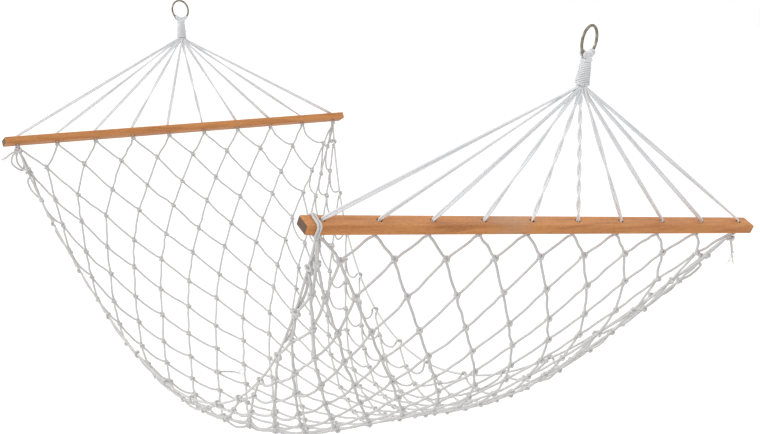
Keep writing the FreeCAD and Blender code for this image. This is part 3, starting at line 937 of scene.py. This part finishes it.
def make_corner_tie():
    """A flat doubled band round the near bar's left end, gathered under its front edge."""
    x = hole_x(0) - 10 * MM
    y = BAR_HALF_WIDTH + 1.7 * MM
    z = BAR_HALF_THICKNESS + 1.7 * MM
    shape = Shape()
    for side in (-1.0, 1.0):
        wide = side * 1.9 * MM
        loop = [(x + 3 * MM + wide * 0.5, -y + 3 * MM, -z - 4.5 * MM),
                (x + wide, -y + 0.2 * MM, -z + 1 * MM), (x + wide, -y, -z + 6 * MM),
                (x + wide, -y, z - 4 * MM), (x + wide - 0.3 * MM, -y + 2 * MM, z - 0.4 * MM),
                (x + wide + 0.6 * MM, 0, z), (x + wide + 1.8 * MM, y - 3 * MM, z - 0.2 * MM),
                (x + wide + 2.2 * MM, y, z - 4 * MM), (x + wide + 1.4 * MM, y, -z + 4 * MM),
                (x + wide + 0.8 * MM, y - 3 * MM, -z), (x + wide, 0, -z - 1 * MM),
                (x + 3 * MM + wide * 0.5, -y + 7 * MM, -z - 3.0 * MM),
                (x + 4.5 * MM + wide * 0.5, -y + 3.5 * MM, -z - 5.5 * MM)]
        shape.strand(smooth(bar["near"].at(loop)), 1.85 * MM)
    piece = shape.build("near_corner_band", white_net, "near_bar")
    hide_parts("near_corner_tie")


def dress_bars_and_rings():
    for end in OUTWARD:
        for node, material in ((end + "_spreader_bar", bar_wood), (end + "_ring", ring_steel)):
            data = frame["nodes"][node].data
            for slot in range(len(data.materials)):
                data.materials[slot] = material
            if not data.materials:
                data.materials.append(material)


# ---- stage, light and camera -----------------------------------------------------------------

CAMERA_AT = (-1.14767, -1.23884, 0.02908)
CAMERA_YAW = 33.908                             # degrees, clockwise from +Y
CAMERA_PITCH = -9.451
CAMERA_ROLL = 3.035
CAMERA_LENS = 59.75                             # mm on a 36 mm sensor
FLOOR_HEIGHT = -1.05
# The light is kept soft: a stronger one turns white cord as white as the backdrop.
DOME_LOW = 0.70                                 # the studio's light from the right and below
DOME_HIGH = 1.12                                # and from the left and above
KEY_STRENGTH = 0.50
KEY_WIDTH = 16.0                                # degrees


def camera_axes():
    yaw, pitch, roll = (math.radians(a) for a in (CAMERA_YAW, CAMERA_PITCH, CAMERA_ROLL))
    ahead = np.array([math.sin(yaw) * math.cos(pitch), math.cos(yaw) * math.cos(pitch),
                      math.sin(pitch)])
    level = np.array([math.cos(yaw), -math.sin(yaw), 0.0])
    above = np.cross(level, ahead)
    right = level * math.cos(roll) + above * math.sin(roll)
    return right, above * math.cos(roll) - level * math.sin(roll), ahead


def make_camera():
    right, up, ahead = camera_axes()
    data = bpy.data.cameras.new("camera")
    data.lens = CAMERA_LENS
    data.sensor_width = 36.0
    data.clip_start = 0.01
    camera = bpy.data.objects.new("camera", data)
    place = Matrix.Identity(4)
    for column, axis in enumerate((right, up, -ahead)):
        for row in range(3):
            place[row][column] = axis[row]
    for row in range(3):
        place[row][3] = CAMERA_AT[row]
    camera.matrix_world = place
    bpy.context.scene.collection.objects.link(camera)
    bpy.context.scene.camera = camera


def make_world():
    """A white studio. The camera sees it plain. As a light it is brighter from the left."""
    world = bpy.data.worlds.new("studio")
    world.use_nodes = True
    bpy.context.scene.world = world
    tree = world.node_tree
    right, up, ahead = camera_axes()
    place = tree.nodes.new("ShaderNodeTexCoord")
    toward = tree.nodes.new("ShaderNodeVectorMath")
    toward.operation = "DOT_PRODUCT"
    toward.inputs[1].default_value = tuple(unit(up * 0.5 - right * 0.85 - ahead * 0.1))
    level = tree.nodes.new("ShaderNodeMapRange")
    level.inputs["From Min"].default_value = -1.0
    level.inputs["To Min"].default_value = DOME_LOW
    level.inputs["To Max"].default_value = DOME_HIGH
    tree.links.new(place.outputs["Generated"], toward.inputs[0])
    tree.links.new(toward.outputs["Value"], level.inputs["Value"])
    dome = tree.nodes["Background"]
    tree.links.new(level.outputs["Result"], dome.inputs["Strength"])
    dome.inputs["Color"].default_value = (1.0, 1.0, 1.0, 1.0)
    plain = tree.nodes.new("ShaderNodeBackground")
    plain.inputs["Color"].default_value = (1.0, 1.0, 1.0, 1.0)
    rays = tree.nodes.new("ShaderNodeLightPath")
    either = tree.nodes.new("ShaderNodeMixShader")
    tree.links.new(rays.outputs["Is Camera Ray"], either.inputs["Fac"])
    tree.links.new(dome.outputs["Background"], either.inputs[1])
    tree.links.new(plain.outputs["Background"], either.inputs[2])
    tree.links.new(either.outputs["Shader"], tree.nodes["World Output"].inputs["Surface"])


def make_key():
    """One broad soft light from the left and above, as the camera sees it."""
    right, up, ahead = camera_axes()
    data = bpy.data.lights.new("key", "SUN")
    data.energy = KEY_STRENGTH
    data.angle = math.radians(KEY_WIDTH)
    lamp = bpy.data.objects.new("key", data)
    away = unit(up * 0.5 - right * 0.84 - ahead * 0.2)
    side = unit(np.cross((0.0, 0.0, 1.0), away))
    above = np.cross(away, side)
    lamp.matrix_world = Matrix([[side[i], above[i], away[i], 0.0] for i in range(3)]
                               + [[0, 0, 0, 1]])
    bpy.context.scene.collection.objects.link(lamp)


def make_stage():
    m = Nodes("floor_paper")
    m.shader.inputs["Base Color"].default_value = (0.8, 0.8, 0.8, 1.0)
    m.shader.inputs["Roughness"].default_value = 1.0
    m.shader.inputs["Specular IOR Level"].default_value = 0.0
    m.shader.inputs["Emission Color"].default_value = (1.0, 1.0, 1.0, 1.0)
    m.shader.inputs["Emission Strength"].default_value = 0.35
    half = 400.0
    mesh = bpy.data.meshes.new("floor")
    mesh.from_pydata([(-half, -half, FLOOR_HEIGHT), (half, -half, FLOOR_HEIGHT),
                      (half, half, FLOOR_HEIGHT), (-half, half, FLOOR_HEIGHT)], [], [(0, 1, 2, 3)])
    mesh.materials.append(m.material)
    floor = bpy.data.objects.new("floor", mesh)
    floor.visible_diffuse = False
    floor.visible_glossy = False
    floor.visible_shadow = False
    bpy.context.scene.collection.objects.link(floor)


def light_and_view():
    make_camera()
    make_world()
    make_stage()
    make_key()
    bpy.context.scene.view_settings.view_transform = "Standard"


# ---- the whole object ------------------------------------------------------------------------

light_and_view()
for end_name in OUTWARD:
    make_fan(end_name)
    make_whipping(end_name)
    make_eye(end_name)
    make_stopper_knots(end_name)
make_net()
make_corner_tie()
dress_bars_and_rings()
